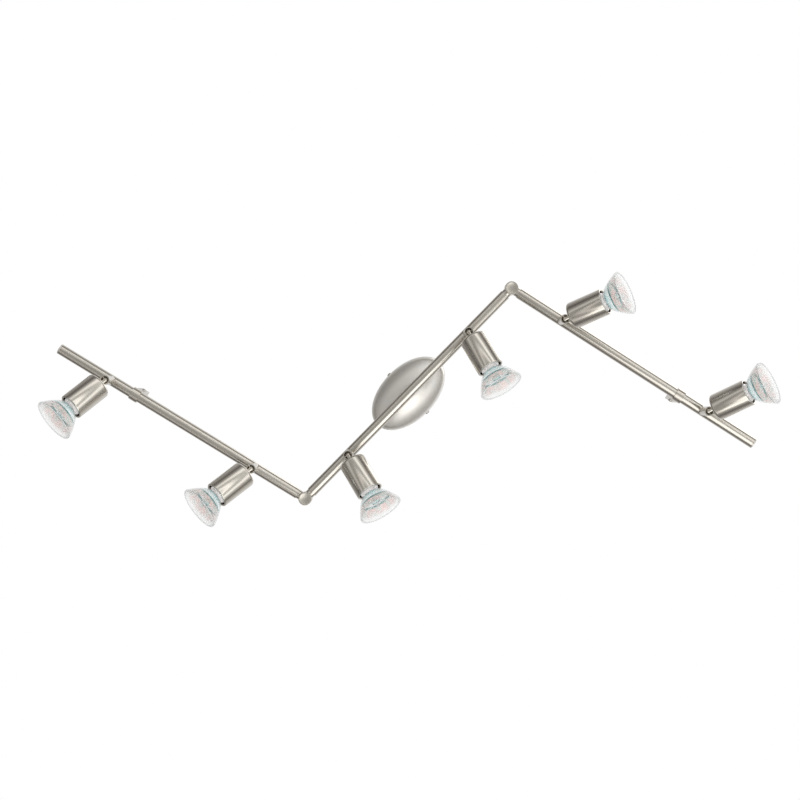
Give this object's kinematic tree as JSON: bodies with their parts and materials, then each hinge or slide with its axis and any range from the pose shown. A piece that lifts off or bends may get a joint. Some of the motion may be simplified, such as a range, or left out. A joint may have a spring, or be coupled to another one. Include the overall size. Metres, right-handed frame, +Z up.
{
  "type": "track lighting fixture",
  "caption": "Ceiling spotlight rail: oval ceiling cup, straight centre tube, two hinged arms in a zigzag and adjustable reflector spots on swivel stems.",
  "frame": {"origin": "middle of the two ceiling slots, on the mounting face of the bracket inside the ceiling cup", "axes": "+Z up into the ceiling, everything hangs below; +X along the centre tube"},
  "size_m": [0.6015, 0.6409, 0.1396],
  "materials": {
    "satin_nickel": "satin brushed nickel plate",
    "zinc_steel": "bright zinc plate",
    "pin_steel": "polished nickel plate",
    "ceramic": "glazed ceramic",
    "terminal_plastic": "moulded polyamide",
    "lamp_glass": "dichroic coated reflector glass",
    "wire_insulation": "heat resistant sleeve"
  },
  "bodies": {
    "centre_bar": {"mounting_bracket": "zinc_steel", "canopy_shell": "satin_nickel", "canopy_screws": "pin_steel", "terminal_block": "terminal_plastic", "nipple": "zinc_steel", "nipple_nut": "zinc_steel", "tube_saddle": "satin_nickel", "centre_tube": "satin_nickel", "centre_collars": "satin_nickel", "centre_wiring": "wire_insulation", "hinge_forks": "satin_nickel", "hinge_pins": "pin_steel", "hinge_caps": "satin_nickel"},
    "left_arm": {"left_arm_tube": "satin_nickel", "left_hinge_tongue": "satin_nickel", "left_end_cap": "satin_nickel", "left_arm_collars": "satin_nickel", "left_arm_wiring": "wire_insulation"},
    "left_support": {"left_support_post": "satin_nickel", "left_support_clip": "zinc_steel", "left_support_screw": "pin_steel"},
    "right_arm": {"right_arm_tube": "satin_nickel", "right_hinge_tongue": "satin_nickel", "right_end_cap": "satin_nickel", "right_arm_collars": "satin_nickel", "right_arm_wiring": "wire_insulation"},
    "right_support": {"right_support_post": "satin_nickel", "right_support_clip": "zinc_steel", "right_support_screw": "pin_steel"},
    "swivel_1": {"swivel_stem_1": "satin_nickel", "tilt_pin_1": "pin_steel"},
    "head_1": {"head_can_1": "satin_nickel", "lamp_holder_1": "ceramic", "lamp_1": "lamp_glass"},
    "swivel_2": {"swivel_stem_2": "satin_nickel", "tilt_pin_2": "pin_steel"},
    "head_2": {"head_can_2": "satin_nickel", "lamp_holder_2": "ceramic", "lamp_2": "lamp_glass"},
    "swivel_3": {"swivel_stem_3": "satin_nickel", "tilt_pin_3": "pin_steel"},
    "head_3": {"head_can_3": "satin_nickel", "lamp_holder_3": "ceramic", "lamp_3": "lamp_glass"},
    "swivel_4": {"swivel_stem_4": "satin_nickel", "tilt_pin_4": "pin_steel"},
    "head_4": {"head_can_4": "satin_nickel", "lamp_holder_4": "ceramic", "lamp_4": "lamp_glass"},
    "swivel_5": {"swivel_stem_5": "satin_nickel", "tilt_pin_5": "pin_steel"},
    "head_5": {"head_can_5": "satin_nickel", "lamp_holder_5": "ceramic", "lamp_5": "lamp_glass"},
    "swivel_6": {"swivel_stem_6": "satin_nickel", "tilt_pin_6": "pin_steel"},
    "head_6": {"head_can_6": "satin_nickel", "lamp_holder_6": "ceramic", "lamp_6": "lamp_glass"}
  },
  "joints": [
    {"name": "left_arm_hinge", "type": "hinge", "parent": "centre_bar", "child": "left_arm", "pos_m": [-0.167, 0, -0.048], "axis": [0, 0, 1], "range_deg": [-76.9, 13.1]},
    {"name": "left_support_slide", "type": "slide", "parent": "left_arm", "child": "left_support", "axis": [-0.2267, -0.974, 0], "range_m": [-0.14, 0.02]},
    {"name": "right_arm_hinge", "type": "hinge", "parent": "centre_bar", "child": "right_arm", "pos_m": [0.167, 0, -0.048], "axis": [0, 0, 1], "range_deg": [-78.2, 11.8]},
    {"name": "right_support_slide", "type": "slide", "parent": "right_arm", "child": "right_support", "axis": [0.2045, 0.9789, 0], "range_m": [-0.14, 0.02]},
    {"name": "pan_1", "type": "hinge", "parent": "left_arm", "child": "swivel_1", "pos_m": [-0.22548, -0.25129, -0.048], "axis": [0, 0, 1], "range_deg": [-165, 165]},
    {"name": "tilt_1", "type": "hinge", "parent": "swivel_1", "child": "head_1", "pos_m": [-0.22548, -0.25129, -0.082], "axis": [0.061, -0.9981, 0], "range_deg": [-20, 62]},
    {"name": "pan_2", "type": "hinge", "parent": "left_arm", "child": "swivel_2", "pos_m": [-0.18241, -0.06623, -0.048], "axis": [0, 0, 1], "range_deg": [-165, 165]},
    {"name": "tilt_2", "type": "hinge", "parent": "swivel_2", "child": "head_2", "pos_m": [-0.18241, -0.06623, -0.082], "axis": [0.1305, -0.9914, 0], "range_deg": [-18, 64]},
    {"name": "pan_3", "type": "hinge", "parent": "centre_bar", "child": "swivel_3", "pos_m": [-0.096, 0, -0.048], "axis": [0, 0, 1], "range_deg": [-165, 165]},
    {"name": "tilt_3", "type": "hinge", "parent": "swivel_3", "child": "head_3", "pos_m": [-0.096, 0, -0.082], "axis": [-0.9724, -0.2334, 0], "range_deg": [-14.5, 67.5]},
    {"name": "pan_4", "type": "hinge", "parent": "centre_bar", "child": "swivel_4", "pos_m": [0.096, 0, -0.048], "axis": [0, 0, 1], "range_deg": [-165, 165]},
    {"name": "tilt_4", "type": "hinge", "parent": "swivel_4", "child": "head_4", "pos_m": [0.096, 0, -0.082], "axis": [-0.9613, -0.2756, 0], "range_deg": [-13, 69]},
    {"name": "pan_5", "type": "hinge", "parent": "right_arm", "child": "swivel_5", "pos_m": [0.18091, 0.06656, -0.048], "axis": [0, 0, 1], "range_deg": [-165, 165]},
    {"name": "tilt_5", "type": "hinge", "parent": "swivel_5", "child": "head_5", "pos_m": [0.18091, 0.06656, -0.082], "axis": [-0.3746, 0.9272, 0], "range_deg": [-16, 66]},
    {"name": "pan_6", "type": "hinge", "parent": "right_arm", "child": "swivel_6", "pos_m": [0.21976, 0.25255, -0.048], "axis": [0, 0, 1], "range_deg": [-165, 165]},
    {"name": "tilt_6", "type": "hinge", "parent": "swivel_6", "child": "head_6", "pos_m": [0.21976, 0.25255, -0.082], "axis": [-0.3007, 0.9537, 0], "range_deg": [-19.5, 62.5]}
  ]
}
